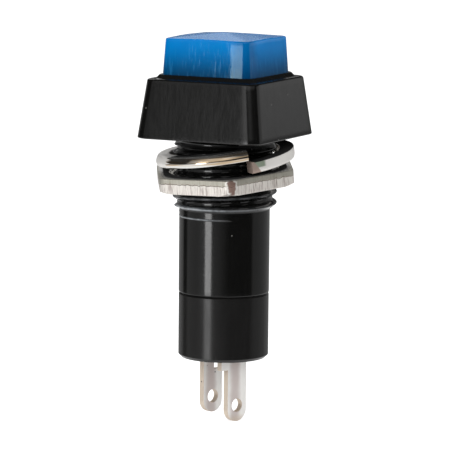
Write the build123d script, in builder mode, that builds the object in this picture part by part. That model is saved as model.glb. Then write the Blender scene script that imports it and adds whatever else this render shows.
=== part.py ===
from build123d import *
import os
from math import atan, cos, degrees, radians, sin, tan

# Panel-mount pushbutton switch with a 12 mm threaded bushing, in millimetres.
# The origin is the centre of the head's underside, which seats on the panel, and +Z runs along the
# bushing's axis towards the cap. A piece that sits lower on the bushing has a lower z.

# Head: the square collar that stands in front of the panel
head_base_width = 15.54
head_top_width = 13.64
head_height = 6.7
head_corner_radius = 1.5
head_top_edge_chamfer = 0.22
head_bottom_edge_chamfer = 0.12
rim_height = 0.45            # low flared rim round the cap's opening
rim_wall = 0.15

# Bushing and barrel, one moulding with the head
neck_radius = 5.5
neck_length = 0.8
thread_radius = 5.9
thread_end_depth = 7.95
thread_end_chamfer = 0.4
barrel_radius = 5.14
barrel_end_depth = 17.8
bore_radius = 4.0
seam_chamfer = 0.15          # on both edges of the joint between barrel and base

# Cap
cap_base_width = 11.14
cap_top_width = 10.5
cap_side_height = 4.4       # above the head's top face
cap_crown_height = 0.65
cap_crown_flat = 1.2
cap_corner_radius = 1.0
cap_skirt_depth = 1.5        # below the head's top face
cap_wall = 0.95
cap_clearance = 0.15         # each side, in the pocket
cap_crown_wall = 0.85

# Plunger, which stops with its guide under the web between the cap's pocket and the bore
button_travel = 3.0
pocket_travel_margin = 0.3   # left below the cap's skirt at full travel
stem_travel_margin = 0.7     # left below the plunger's end at full travel
stem_radius = 2.3
stem_clearance = 0.08
guide_radius_clearance = 0.08
guide_length = 4.0
cap_socket_radius = 1.3
cap_socket_depth = 2.1
cap_socket_relief = 0.1
lower_stem_radius = 1.0
clip_groove_radius = 0.8
stem_end_length = 0.65       # below the clip
spring_seat_radius = 2.15
spring_seat_depth = 0.8

# Springs
return_spring_radius = 3.25  # mean radius of the coil
return_spring_wire = 0.5
return_spring_turns = 5
return_spring_spans = 14     # straight spans in a turn
contact_spring_radius = 1.6
contact_spring_wire = 0.3
contact_spring_turns = 5
contact_spring_spans = 12    # straight spans in a turn

# Terminal base: the plug that closes the barrel
base_step = 0.02             # the base stands this far inside the barrel
base_length = 7.4
base_edge_chamfer = 0.35
spigot_length = 3.2
spigot_clearance = 0.03
snap_bead_depth = 1.6        # above the joint with the barrel
snap_bead_height = 0.18
snap_bead_half_width = 0.25
stem_recess_clearance = 0.3

# Terminals: two blades that face each other across the axis
terminal_heading = -22.0     # of the long terminal's outward face, in degrees from +X
terminal_spacing = 4.1       # between the blades' middles
terminal_width = 2.8
terminal_thickness = 0.7
long_terminal_reach = 7.2    # below the base
short_terminal_reach = 6.7
solder_hole_radius = 0.78
solder_hole_height = 1.83    # centre above the tip
head_bend_length = 1.8       # bent head, across the blade's thickness
head_bend_radius = 0.6
shoulder_width = 1.0
shoulder_height = 1.2
notch_width = 1.25
notch_height = 1.75

# Contacts
contact_offset = 2.6         # from the axis
contact_head_radius = 0.75
contact_head_height = 0.35
contact_shank_radius = 0.4
contact_edge_chamfer = 0.12
contact_overtravel = 1.0     # travel left once the contacts have closed
bridge_end_margin = 0.9      # strip beyond the contact's middle
bridge_width = 2.5
bridge_thickness = 0.4
bridge_corner_radius = 0.4
bridge_clearance = 0.08
clip_radius = 1.45
clip_thickness = 0.35
clip_mouth = 1.1

# Split lock washer, loose on the bushing
washer_clearance = 0.3
washer_width = 1.65           # of its section
washer_thickness = 1.2
washer_edge_chamfer = 0.15
washer_rise = 1.5           # from one end of the ring to the other
washer_split_angle = 2.5
washer_split_heading = -42.9
washer_middle_depth = 2.08
washer_lean = 7.8
washer_lean_heading = 50.0   # side that stands highest

# Hex nut, leaning a little on the bushing
nut_across_flats = 15.1
nut_thickness = 1.75
nut_clearance = 0.2          # of the bore round the thread's crests
nut_corner_radius = 1.0
nut_seat_radius = 8.1         # below, a cone cuts the corners off from this radius outwards
nut_chamfer_angle = 30.0
nut_bore_chamfer = 0.25
nut_middle_depth = 4.46
nut_corner_heading = -0.8
nut_lean = 5.5
nut_lean_heading = 73.0      # side that stands highest

# Heights and widths that follow from the sizes above
head_taper = degrees(atan((head_base_width - head_top_width) / 2 / head_height))
cap_taper = degrees(atan((cap_base_width - cap_top_width) / 2 / cap_side_height))
pocket_width = cap_base_width + 2 * cap_clearance
pocket_corner_radius = cap_corner_radius + cap_clearance
rim_top_height = head_height + rim_height
rim_base_width = pocket_width + 2 * (rim_wall + rim_height)
cap_skirt_height = head_height - cap_skirt_depth
pocket_floor_height = cap_skirt_height - button_travel - pocket_travel_margin
cap_shoulder_height = head_height + cap_side_height
cap_ceiling_height = cap_shoulder_height - cap_crown_wall
stem_top_height = cap_ceiling_height - cap_socket_depth
guide_radius = bore_radius - guide_radius_clearance
guide_end_height = -guide_length
base_radius = barrel_radius - base_step
spigot_top_height = spigot_length - barrel_end_depth
snap_bead_z = snap_bead_depth - barrel_end_depth
base_end_height = -barrel_end_depth - base_length
fixed_contact_height = spigot_top_height + terminal_thickness + contact_head_height
moving_contact_height = fixed_contact_height + button_travel - contact_overtravel
bridge_height = moving_contact_height + contact_head_height
clip_height = bridge_height - clip_thickness
stem_end_height = clip_height - stem_end_length
stem_recess_radius = lower_stem_radius + stem_recess_clearance
stem_recess_height = stem_end_height - button_travel - stem_travel_margin
washer_inner_radius = thread_radius + washer_clearance
nut_bore_radius = thread_radius + nut_clearance


def direction(heading):
    """Unit vector in the XY plane at a heading in degrees from +X."""
    return Vector(cos(radians(heading)), sin(radians(heading)), 0)


def leaning_plane(middle_depth, lean, lean_heading, x_heading):
    """Plane across the axis that stands highest at lean_heading, with its own X near x_heading."""
    normal = Vector(0, 0, cos(radians(lean))) - direction(lean_heading) * sin(radians(lean))
    along = direction(x_heading)
    return Plane(origin=(0, 0, -middle_depth), x_dir=along - normal * along.dot(normal), z_dir=normal)


# Looking down this plane, X runs outwards through the long terminal and Y along the blades' width
terminal_plane = Plane(origin=(0, 0, 0), x_dir=direction(terminal_heading), z_dir=(0, 0, 1))
# This one looks at the blades' faces: X along their width, Y up, Z outwards through the long terminal
blade_plane = Plane(origin=(0, 0, 0), x_dir=direction(terminal_heading + 90),
                    z_dir=direction(terminal_heading))
# And this one looks along their width: X outwards, Y up
section_plane = Plane(origin=(0, 0, 0), x_dir=direction(terminal_heading),
                      z_dir=direction(terminal_heading - 90))

# Housing: head, bushing and barrel in one
with BuildPart() as housing:
    with BuildSketch(Plane.XY):
        RectangleRounded(head_base_width, head_base_width, head_corner_radius)
    extrude(amount=head_height, taper=head_taper)
    chamfer(housing.faces().sort_by(Axis.Z)[-1].edges(), head_top_edge_chamfer)
    chamfer(housing.faces().sort_by(Axis.Z)[0].edges(), head_bottom_edge_chamfer)
    with BuildSketch(Plane.XY.offset(head_height)):
        RectangleRounded(rim_base_width, rim_base_width, pocket_corner_radius + rim_wall + rim_height)
    extrude(amount=rim_height, taper=45)
    with BuildSketch(Plane.XZ):
        with BuildLine():
            Polyline(
                (0, pocket_floor_height / 2),
                (neck_radius, pocket_floor_height / 2),
                (neck_radius, -neck_length),
                (thread_radius, -neck_length - (thread_radius - neck_radius)),
                (thread_radius, thread_end_chamfer - thread_end_depth),
                (thread_radius - thread_end_chamfer, -thread_end_depth),
                (barrel_radius, -thread_end_depth),
                (barrel_radius, seam_chamfer - barrel_end_depth),
                (barrel_radius - seam_chamfer, -barrel_end_depth),
                (0, -barrel_end_depth),
                close=True,
            )
        make_face()
    revolve(axis=Axis.Z)
    with BuildSketch(Plane.XY.offset(pocket_floor_height)):
        RectangleRounded(pocket_width, pocket_width, pocket_corner_radius)
    extrude(amount=rim_top_height - pocket_floor_height, mode=Mode.SUBTRACT)
    with BuildSketch(Plane.XZ):
        with BuildLine():
            Polyline(
                (0, pocket_floor_height),
                (stem_radius + stem_clearance, pocket_floor_height),
                (stem_radius + stem_clearance, 0),
                (bore_radius, 0),
                (bore_radius, snap_bead_z + snap_bead_half_width),
                (bore_radius + snap_bead_height, snap_bead_z),
                (bore_radius, snap_bead_z - snap_bead_half_width),
                (bore_radius, -barrel_end_depth),
                (0, -barrel_end_depth),
                close=True,
            )
        make_face()
    revolve(axis=Axis.Z, mode=Mode.SUBTRACT)

# Cap: a square shell with a low four-sided crown and a socket for the plunger
with BuildPart() as button_cap:
    with BuildSketch(Plane.XY.offset(cap_skirt_height)):
        RectangleRounded(cap_base_width, cap_base_width, cap_corner_radius)
    extrude(amount=cap_skirt_depth)
    with BuildSketch(Plane.XY.offset(head_height)):
        RectangleRounded(cap_base_width, cap_base_width, cap_corner_radius)
    extrude(amount=cap_side_height + cap_crown_height, taper=cap_taper)
    for roof_plane in (Plane.XZ, Plane.YZ):
        with BuildSketch(roof_plane):
            with BuildLine():
                Polyline(
                    (-cap_base_width / 2, cap_skirt_height),
                    (cap_base_width / 2, cap_skirt_height),
                    (cap_base_width / 2, head_height),
                    (cap_top_width / 2, cap_shoulder_height),
                    (cap_crown_flat / 2, cap_shoulder_height + cap_crown_height),
                    (-cap_crown_flat / 2, cap_shoulder_height + cap_crown_height),
                    (-cap_top_width / 2, cap_shoulder_height),
                    (-cap_base_width / 2, head_height),
                    close=True,
                )
            make_face()
        extrude(amount=cap_base_width / 2, both=True, mode=Mode.INTERSECT)
    with BuildSketch(Plane.XY.offset(cap_skirt_height)):
        RectangleRounded(cap_base_width - 2 * cap_wall, cap_base_width - 2 * cap_wall,
                         cap_corner_radius / 2)
    extrude(amount=cap_ceiling_height - cap_skirt_height, mode=Mode.SUBTRACT)
    with BuildSketch(Plane.XY.offset(stem_top_height)):
        Circle(stem_radius)
        Circle(cap_socket_radius, mode=Mode.SUBTRACT)
    extrude(amount=cap_socket_depth)

# Plunger: stem, guide flange and the lower stem that carries the contact bridge
with BuildPart() as plunger:
    with BuildSketch(Plane.XZ):
        with BuildLine():
            Polyline(
                (0, cap_ceiling_height - cap_socket_relief),
                (cap_socket_radius, cap_ceiling_height - cap_socket_relief),
                (cap_socket_radius, stem_top_height),
                (stem_radius, stem_top_height),
                (stem_radius, 0),
                (guide_radius, 0),
                (guide_radius, guide_end_height),
                (spring_seat_radius, guide_end_height),
                (spring_seat_radius, guide_end_height + spring_seat_depth),
                (lower_stem_radius, guide_end_height + spring_seat_depth),
                (lower_stem_radius, bridge_height),
                (clip_groove_radius, bridge_height),
                (clip_groove_radius, clip_height),
                (lower_stem_radius, clip_height),
                (lower_stem_radius, stem_end_height),
                (0, stem_end_height),
                close=True,
            )
        make_face()
    revolve(axis=Axis.Z)


def coil_spring(low, high, radius, wire, turns, spans):
    """Compression spring between the planes at heights low and high, with spans straight spans a turn."""
    length = high - low - wire
    steps = [step / spans for step in range(turns * spans + 1)]
    with BuildPart() as spring:
        with BuildLine() as centre_line:
            Polyline([direction(360 * step) * radius + Vector(0, 0, low + wire / 2 + length * step / turns)
                      for step in steps])
        with BuildSketch(Plane(origin=centre_line.line @ 0, z_dir=centre_line.line % 0)):
            RegularPolygon(wire / 2, 6)
        sweep(transition=Transition.RIGHT)
    return spring


return_spring = coil_spring(pocket_floor_height, cap_ceiling_height, return_spring_radius,
                            return_spring_wire, return_spring_turns, return_spring_spans)
contact_spring = coil_spring(bridge_height + bridge_thickness, guide_end_height + spring_seat_depth,
                             contact_spring_radius, contact_spring_wire, contact_spring_turns,
                             contact_spring_spans)

# Contact bridge: strip that slides on the plunger's lower stem
with BuildPart() as contact_bridge:
    with BuildSketch(terminal_plane.offset(bridge_height)):
        RectangleRounded(2 * (contact_offset + bridge_end_margin), bridge_width, bridge_corner_radius)
        Circle(lower_stem_radius + bridge_clearance, mode=Mode.SUBTRACT)
        with Locations((contact_offset, 0), (-contact_offset, 0)):
            Circle(contact_shank_radius, mode=Mode.SUBTRACT)
    extrude(amount=bridge_thickness)

# Clip: open ring snapped into the groove of the lower stem
with BuildPart() as bridge_clip:
    with BuildSketch(terminal_plane.offset(clip_height)):
        Circle(clip_radius)
        Circle(clip_groove_radius, mode=Mode.SUBTRACT)
        with Locations((0, clip_radius / 2)):
            Rectangle(clip_mouth, clip_radius, mode=Mode.SUBTRACT)
    extrude(amount=clip_thickness)

# Terminal base: plug with a snap bead, two blade slots and a recess for the stem's end
with BuildPart() as terminal_base:
    with BuildSketch(Plane.XZ):
        with BuildLine():
            Polyline(
                (0, base_end_height),
                (base_radius, base_end_height),
                (base_radius, -barrel_end_depth - seam_chamfer),
                (base_radius - seam_chamfer, -barrel_end_depth),
                (bore_radius - spigot_clearance, -barrel_end_depth),
                (bore_radius - spigot_clearance, snap_bead_z - snap_bead_half_width),
                (bore_radius + snap_bead_height - spigot_clearance, snap_bead_z),
                (bore_radius - spigot_clearance, snap_bead_z + snap_bead_half_width),
                (bore_radius - spigot_clearance, spigot_top_height),
                (stem_recess_radius, spigot_top_height),
                (stem_recess_radius, stem_recess_height),
                (0, stem_recess_height),
                close=True,
            )
        make_face()
    revolve(axis=Axis.Z)
    chamfer(terminal_base.faces().sort_by(Axis.Z)[0].edges(), base_edge_chamfer)
    with BuildSketch(terminal_plane.offset(base_end_height)):
        with Locations((terminal_spacing / 2, 0), (-terminal_spacing / 2, 0)):
            Rectangle(terminal_thickness, terminal_width)
    extrude(amount=spigot_top_height - base_end_height, mode=Mode.SUBTRACT)


def terminal(side, reach):
    """Solder terminal with a bent head, a round end and a solder hole; side is 1 or -1 along X."""
    inner = (terminal_spacing - terminal_thickness) / 2
    outer = inner + terminal_thickness
    tip = base_end_height - reach
    head_top = spigot_top_height + terminal_thickness
    with BuildPart() as blade:
        with BuildSketch(section_plane):
            with BuildLine():
                Polyline(
                    (side * inner, tip),
                    (side * outer, tip),
                    (side * outer, spigot_top_height),
                    (side * (inner + head_bend_length), spigot_top_height),
                    (side * (inner + head_bend_length), head_top),
                    (side * inner, head_top),
                    close=True,
                )
            bent = make_face()
            fillet(bent.vertices().filter_by(
                lambda corner: corner.Z > spigot_top_height).sort_by_distance(Vector(0, 0, head_top))[0],
                head_bend_radius)
        extrude(amount=terminal_width / 2, both=True)
        with BuildSketch(blade_plane):
            with Locations((0, tip)):
                Rectangle(terminal_width, terminal_width)
            with Locations((0, tip + terminal_width / 2)):
                Circle(terminal_width / 2, mode=Mode.SUBTRACT)
                Rectangle(terminal_width, terminal_width / 2, align=(Align.CENTER, Align.MIN),
                          mode=Mode.SUBTRACT)
            with Locations((0, tip + solder_hole_height)):
                Circle(solder_hole_radius)
        extrude(amount=side * bore_radius, mode=Mode.SUBTRACT)
        with BuildSketch(terminal_plane.offset(spigot_top_height)):
            with Locations((side * contact_offset, 0)):
                Circle(contact_shank_radius)
        extrude(amount=terminal_thickness, mode=Mode.SUBTRACT)
    return blade


long_blade = terminal(1, long_terminal_reach)
short_blade = terminal(-1, short_terminal_reach)

# The long terminal's shoulder bears on the base
with BuildPart() as terminal_long:
    add(long_blade.part)
    with BuildSketch(blade_plane.offset((terminal_spacing - terminal_thickness) / 2)):
        with Locations((-terminal_width / 2, base_end_height)):
            Rectangle(shoulder_width, shoulder_height, align=(Align.MAX, Align.MAX))
    extrude(amount=terminal_thickness)

# The short terminal is notched where it leaves the base
with BuildPart() as terminal_short:
    add(short_blade.part)
    with BuildSketch(blade_plane.offset(-(terminal_spacing - terminal_thickness) / 2)):
        with Locations((terminal_width / 2, base_end_height)):
            Rectangle(notch_width, notch_height, align=(Align.MAX, Align.MAX))
    extrude(amount=-terminal_thickness, mode=Mode.SUBTRACT)


def contact(side, face_height, shank_length):
    """Contact rivet with its head's face at face_height; a shank longer than 0 points up, else down."""
    up = 1 if shank_length > 0 else -1
    with BuildPart() as rivet:
        with BuildSketch(terminal_plane.offset(face_height)):
            with Locations((side * contact_offset, 0)):
                Circle(contact_head_radius)
        extrude(amount=up * contact_head_height)
        chamfer(rivet.faces().sort_by(Axis.Z)[0 if up > 0 else -1].edges(), contact_edge_chamfer)
        with BuildSketch(terminal_plane.offset(face_height + up * contact_head_height)):
            with Locations((side * contact_offset, 0)):
                Circle(contact_shank_radius)
        extrude(amount=shank_length)
    return rivet


fixed_contact_long = contact(1, fixed_contact_height, -terminal_thickness)
fixed_contact_short = contact(-1, fixed_contact_height, -terminal_thickness)
moving_contact_long = contact(1, moving_contact_height, bridge_thickness)
moving_contact_short = contact(-1, moving_contact_height, bridge_thickness)

# Split lock washer: one turn of a flat section on a helix, made level and then leant on the bushing
washer_turn = 1 - washer_split_angle / 360
with BuildPart() as level_washer:
    with BuildLine() as washer_line:
        Helix(pitch=washer_rise / washer_turn, height=washer_rise,
              radius=washer_inner_radius + washer_width / 2, center=(0, 0, -washer_rise / 2))
    with BuildSketch(Plane(origin=washer_line.line @ 0, x_dir=(1, 0, 0), z_dir=washer_line.line % 0)):
        section = Rectangle(washer_width, washer_thickness)
        chamfer(section.vertices(), washer_edge_chamfer)
    sweep(is_frenet=True)
with BuildPart() as lock_washer:
    with Locations(leaning_plane(washer_middle_depth, washer_lean, washer_lean_heading,
                                 washer_split_heading + washer_split_angle / 2)):
        add(level_washer.part)

# Hex nut: a thin blank with its lower corners cut by a cone, and a plain chamfered bore
nut_plane = leaning_plane(nut_middle_depth, nut_lean, nut_lean_heading, nut_corner_heading)
nut_axis = Axis(nut_plane.origin, nut_plane.z_dir)
with BuildPart() as hex_nut:
    with BuildSketch(nut_plane.offset(-nut_thickness / 2)):
        RegularPolygon(nut_across_flats / 2, 6, major_radius=False)
    extrude(amount=nut_thickness)
    fillet(hex_nut.edges().filter_by(nut_axis), nut_corner_radius)
    with BuildSketch(Plane(origin=nut_plane.origin, x_dir=nut_plane.x_dir, z_dir=-nut_plane.y_dir)):
        with BuildLine():
            Polyline(
                (0, -nut_thickness / 2),
                (nut_seat_radius, -nut_thickness / 2),
                (nut_seat_radius + nut_thickness / tan(radians(nut_chamfer_angle)), nut_thickness / 2),
                (0, nut_thickness / 2),
                close=True,
            )
        make_face()
    revolve(axis=nut_axis, mode=Mode.INTERSECT)
    with BuildSketch(nut_plane.offset(-nut_thickness / 2)):
        Circle(nut_bore_radius)
    extrude(amount=nut_thickness, mode=Mode.SUBTRACT)
    chamfer(hex_nut.edges().filter_by(GeomType.CIRCLE).filter_by(
        lambda rim: abs(rim.radius - nut_bore_radius) < nut_bore_chamfer / 10), nut_bore_chamfer)

pieces = {
    "housing": housing,
    "button_cap": button_cap,
    "plunger": plunger,
    "return_spring": return_spring,
    "contact_spring": contact_spring,
    "contact_bridge": contact_bridge,
    "moving_contact_long": moving_contact_long,
    "moving_contact_short": moving_contact_short,
    "bridge_clip": bridge_clip,
    "terminal_base": terminal_base,
    "terminal_long": terminal_long,
    "terminal_short": terminal_short,
    "fixed_contact_long": fixed_contact_long,
    "fixed_contact_short": fixed_contact_short,
    "lock_washer": lock_washer,
    "hex_nut": hex_nut,
}
os.makedirs("parts", exist_ok=True)
for name, piece in pieces.items():
    piece.part.label = name
    export_step(piece.part, f"parts/{name}.step")
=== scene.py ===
"""Looks of a panel-mount pushbutton switch with a square head, a threaded bushing and solder terminals.

Lengths are in millimetres unless a name ends in _m, and become metres where a mesh is made. Headings are
angles in degrees round +Z, counted from +X towards +Y. Heights are along +Z from the head's underside.
"""
import logging
from collections.abc import Iterable
from dataclasses import dataclass, field
from enum import Enum
from typing import Protocol

import bpy
import numpy as np
from mathutils import Matrix, Vector


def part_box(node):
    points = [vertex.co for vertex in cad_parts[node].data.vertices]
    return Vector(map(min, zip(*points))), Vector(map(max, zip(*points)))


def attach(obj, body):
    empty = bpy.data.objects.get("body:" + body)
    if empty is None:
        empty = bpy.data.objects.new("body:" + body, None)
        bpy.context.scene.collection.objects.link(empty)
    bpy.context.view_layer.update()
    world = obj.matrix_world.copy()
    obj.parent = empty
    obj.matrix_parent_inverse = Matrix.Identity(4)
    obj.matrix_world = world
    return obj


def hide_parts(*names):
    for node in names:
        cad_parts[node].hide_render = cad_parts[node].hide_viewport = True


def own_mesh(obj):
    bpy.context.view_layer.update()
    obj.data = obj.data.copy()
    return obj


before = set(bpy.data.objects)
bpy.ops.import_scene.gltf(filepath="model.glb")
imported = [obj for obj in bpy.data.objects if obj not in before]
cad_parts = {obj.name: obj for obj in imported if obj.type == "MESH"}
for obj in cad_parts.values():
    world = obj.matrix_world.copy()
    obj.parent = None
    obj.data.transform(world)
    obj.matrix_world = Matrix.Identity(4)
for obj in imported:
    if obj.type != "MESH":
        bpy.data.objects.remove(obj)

MM = 0.001
FULL_TURN = 2 * np.pi
LOG = logging.getLogger("pushbutton")
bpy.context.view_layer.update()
Colour = tuple[float, float, float, float]
Socket = bpy.types.NodeSocket
Value = Socket | float | tuple[float, ...]
Span = tuple[float, float]  # two ends: of a smooth step's reach, or of what it gives


class Body(Enum):
    """Groups of the switch that the new pieces move with."""

    FIXED = "body"
    BUTTON = "button"
    WASHER = "washer"
    NUT = "nut"


class Slot(Enum):
    """Finishes of the record that a new piece takes the place of."""

    BLACK = "black_plastic"
    BLUE = "blue_plastic"
    SPRING = "spring_steel"
    NICKEL = "nickel_plate"


class Finish(Protocol):
    """Anything that can make its material."""

    def material(self) -> bpy.types.Material:
        """Builds the material."""


def add_object(name: str, data: bpy.types.ID) -> bpy.types.Object:
    """Puts a mesh, a lamp or a camera into the scene.

    Args:
        name: the object's name.
        data: what it shows.

    Returns:
        The object, at the origin.
    """
    item = bpy.data.objects.new(name, data)
    bpy.context.scene.collection.objects.link(item)
    return item


# ---------------------------------------------------------------- surfaces on grids


def facet_radius(theta: np.ndarray, sides: int, apothem: np.ndarray, corner: np.ndarray,
                 first_facet: float) -> np.ndarray:
    """Distance from the axis to a regular polygon's outline with rounded corners.

    With f the angle from the nearest facet's middle, the flat lies at apothem / cos f. The corner's arc
    has its centre c at (apothem - corner) along the facet's normal and that times tan(pi / sides) along
    the facet, and a ray d meets it at d.c + sqrt((d.c)^2 - |c|^2 + corner^2). A circle is the case where
    the corner's radius is the apothem.

    Args:
        theta: angles round the axis, in radians.
        sides: number of facets.
        apothem: distance from the axis to each facet.
        corner: radius of the rounded corners.
        first_facet: angle of one facet's normal, in radians.

    Returns:
        The distance at each angle, in the shape that the arguments broadcast to.
    """
    half_angle = np.pi / sides
    fold = np.abs((theta - first_facet + half_angle) % (2 * half_angle) - half_angle)
    inner = apothem - corner
    reach = inner * np.tan(half_angle)
    along = np.cos(fold) * inner + np.sin(fold) * reach
    arc = along + np.sqrt(np.maximum(along**2 - inner**2 - reach**2 + corner**2, 0))
    return np.where(apothem * np.tan(fold) <= reach, apothem / np.cos(fold), arc)


def bowed_radius(theta: np.ndarray, half: np.ndarray, corner: np.ndarray, flat_share: float,
                 bow: float) -> np.ndarray:
    """Distance from the axis to a square's outline whose sides bow away a little before its corners.

    Each side runs straight at half for the flat share of it, then on a line turned by the bow, which lies
    at a = half (cos bow + flat_share sin bow). The corner's arc is tangent to two such lines: its middle c
    stands on the diagonal with c (cos bow + sin bow) = a - corner, and a ray d meets it at
    d.c + sqrt((d.c)^2 - |c|^2 + corner^2). The break between the two lines is rounded by the smooth lower
    of their distances p and q, (p + q - sqrt((p - q)^2 + e)) / 2. Where the outline is nearly a circle it
    is left as it is.

    Args:
        theta: angles round the axis, in radians.
        half: distance from the axis to each side.
        corner: radius of the rounded corners.
        flat_share: share of half that is straight on either side of a side's middle.
        bow: turn of the rest of each side, in degrees.

    Returns:
        The distance at each angle, in the shape that the arguments broadcast to.
    """
    fold = np.abs((theta + np.pi / 4) % (np.pi / 2) - np.pi / 4)
    turn = np.radians(bow)
    reach = half * (np.cos(turn) + flat_share * np.sin(turn))
    middle = (reach - corner) / (np.cos(turn) + np.sin(turn))
    straight, turned = half / np.cos(fold), reach / np.cos(fold - turn)
    side = (straight + turned - np.sqrt((straight - turned) ** 2 + 0.0001 * half)) / 2
    along = middle * (np.cos(fold) + np.sin(fold))
    arc = along + np.sqrt(np.maximum(along**2 - 2 * middle**2 + corner**2, 0))
    tangent = np.arctan2(middle + corner * np.sin(turn), middle + corner * np.cos(turn))
    bowed = np.where(fold <= tangent, side, arc)
    return np.where(corner < 0.8 * half, bowed, facet_radius(theta, 4, half, corner, 0.0))


def crowded_angles(count: int, sides: int, first_facet: float, crowding: float = 0.6) -> np.ndarray:
    """Angles round the axis that crowd at a polygon's corners: t + crowding / sides * sin(sides * t).

    Args:
        count: number of angles.
        sides: number of facets.
        first_facet: angle of one facet's normal, in radians.
        crowding: 0 spaces them evenly, and near 1 puts most of them at the corners.

    Returns:
        The angles in radians, over one turn.
    """
    even = np.arange(count) * FULL_TURN / count
    return first_facet + even + crowding / sides * np.sin(sides * even)


@dataclass(frozen=True)
class Knot:
    """A corner of a profile: half width and corner radius of the outline there, and its height."""

    half: float
    corner: float
    height: float
    rounding: float = 0.0
    spacing: float = 0.8

    def place(self) -> np.ndarray:
        """Half width, corner radius and height as one point."""
        return np.array([self.half, self.corner, self.height], float)


def round_knot(height: float, radius: float, rounding: float = 0.0, spacing: float = 0.8) -> Knot:
    """Knot where the outline is a circle."""
    return Knot(radius, radius, height, rounding, spacing)


def rounded_path(knots: list[Knot], closed: bool) -> np.ndarray:
    """Straight runs from knot to knot, with the parabola (1-t)^2 a + 2t(1-t) k + t^2 b over each knot k.

    Args:
        knots: the corners in order. Each one's rounding is how far its parabola reaches along the two
            runs, and its spacing is the distance between rows on the run that follows it.
        closed: whether the last knot runs back to the first.

    Returns:
        Rows of half width, corner radius and height.
    """
    share = np.linspace(0, 1, 7)[:, None]
    rows = []
    for index, knot in enumerate(knots):
        here = knot.place()
        after = knots[(index + 1) % len(knots)]
        before = knots[index - 1]
        inside = closed or 0 < index < len(knots) - 1
        if knot.rounding and inside:
            ends = []
            for other in (before.place(), after.place()):
                ends.append(here + (other - here) * knot.rounding / np.hypot(*(other - here)[[0, 2]]))
            rows.append((1 - share) ** 2 * ends[0] + 2 * share * (1 - share) * here + share**2 * ends[1])
        else:
            rows.append(here[None])
        if closed or index < len(knots) - 1:
            start, end = rows[-1][-1], after.place()
            length = np.hypot(*(end - start)[[0, 2]])
            steps = int(np.ceil((length - after.rounding) / knot.spacing))
            stop = 1 - after.rounding / max(length, 1e-9)
            rows.append(start + (end - start) * (np.arange(1, steps) / max(steps, 1) * stop)[:, None])
    return np.concatenate(rows)


def grid_faces(rows: int, columns: int, wrap_rows: bool) -> np.ndarray:
    """Quads of a grid numbered row by row, whose last column joins its first.

    Args:
        rows: number of rows.
        columns: number of columns.
        wrap_rows: whether the last row joins the first too.

    Returns:
        Four point numbers for each quad.
    """
    row, column = np.meshgrid(np.arange(rows if wrap_rows else rows - 1), np.arange(columns), indexing="ij")
    next_row, next_column = (row + 1) % rows, (column + 1) % columns
    corners = (row * columns + column, row * columns + next_column,
               next_row * columns + next_column, next_row * columns + column)
    return np.stack(corners, axis=-1).reshape(-1, 4)


def smooth_step(low: float, high: float, value: np.ndarray) -> np.ndarray:
    """3t^2 - 2t^3, where t runs from 0 at low to 1 at high."""
    share = np.clip((value - low) / (high - low), 0, 1)
    return share * share * (3 - 2 * share)


@dataclass
class Skin:
    """A closed surface given by a grid of points, with numbers that its finish reads."""

    name: str
    points: np.ndarray
    wrap_rows: bool
    sharp_angle: float = 32.0
    values: dict[str, np.ndarray] = field(default_factory=dict)

    def build(self) -> bpy.types.Object:
        """Makes the mesh, with each open end closed by a fan to the middle of its row.

        Returns:
            The piece, with its place in its mesh.
        """
        rows, columns = self.points.shape[:2]
        points = self.points.reshape(-1, 3)
        quads = grid_faces(rows, columns, self.wrap_rows)
        faces = quads.tolist()
        if not self.wrap_rows:
            hubs = self.points[[0, -1]].mean(axis=1)
            around = np.arange(columns)
            beyond = (around + 1) % columns
            first_hub, last_row = len(points), (rows - 1) * columns
            points = np.vstack([points, hubs])
            faces += np.stack([beyond, around, np.full(columns, first_hub)], axis=1).tolist()
            faces += np.stack([last_row + around, last_row + beyond,
                               np.full(columns, first_hub + 1)], axis=1).tolist()
        a, b, c, d = (self.points.reshape(-1, 3)[quads[:, i]] for i in range(4))
        volume = (np.cross(b - a, c - a) * a).sum() + (np.cross(c - a, d - a) * a).sum()
        if volume < 0:
            faces = [face[::-1] for face in faces]
        mesh = bpy.data.meshes.new(self.name)
        mesh.from_pydata((points * MM).tolist(), [], faces)
        for name, numbers in self.values.items():
            attribute = mesh.attributes.new(name, "FLOAT", "POINT")
            on_grid = np.broadcast_to(numbers, (rows, columns))
            at_hubs = on_grid[[0, -1]].mean(axis=1)[:len(points) - rows * columns]
            attribute.data.foreach_set("value", np.append(on_grid, at_hubs).astype(np.float32))
        mesh.shade_smooth()
        mesh.set_sharp_from_angle(angle=np.radians(self.sharp_angle))
        return add_object(self.name, mesh)

    def stand_for(self, node: str, body: Body, finish: Finish) -> bpy.types.Object:
        """Makes the piece that stands in the place of a CAD node.

        Args:
            node: the CAD node that it replaces.
            body: the group that it moves with.
            finish: its look.

        Returns:
            The piece.
        """
        piece = self.build()
        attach(piece, body.value)
        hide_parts(node)
        piece.data.materials.append(finish.material())
        return piece


@dataclass(frozen=True)
class Lean:
    """A level frame leant over on the bushing, as a loose ring lies on it."""

    depth: float
    angle: float
    heading: float
    along: float

    def carry(self, points: np.ndarray) -> np.ndarray:
        """Takes points from the ring's own level frame to the switch's frame.

        The normal is cos(angle) z - sin(angle) h, with h towards the heading that stands highest, and the
        ring's X is the direction along, less its share of the normal.

        Args:
            points: places in the ring's frame, in an array whose last axis is x, y, z.

        Returns:
            The same places in the switch's frame.
        """
        tilt, high, turn = np.radians([self.angle, self.heading, self.along])
        normal = np.array([-np.cos(high) * np.sin(tilt), -np.sin(high) * np.sin(tilt), np.cos(tilt)])
        towards = np.array([np.cos(turn), np.sin(turn), 0.0])
        across = towards - normal * (towards @ normal)
        across /= np.linalg.norm(across)
        axes = np.stack([across, np.cross(normal, across), normal])
        return points @ axes + np.array([0.0, 0.0, -self.depth])


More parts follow.
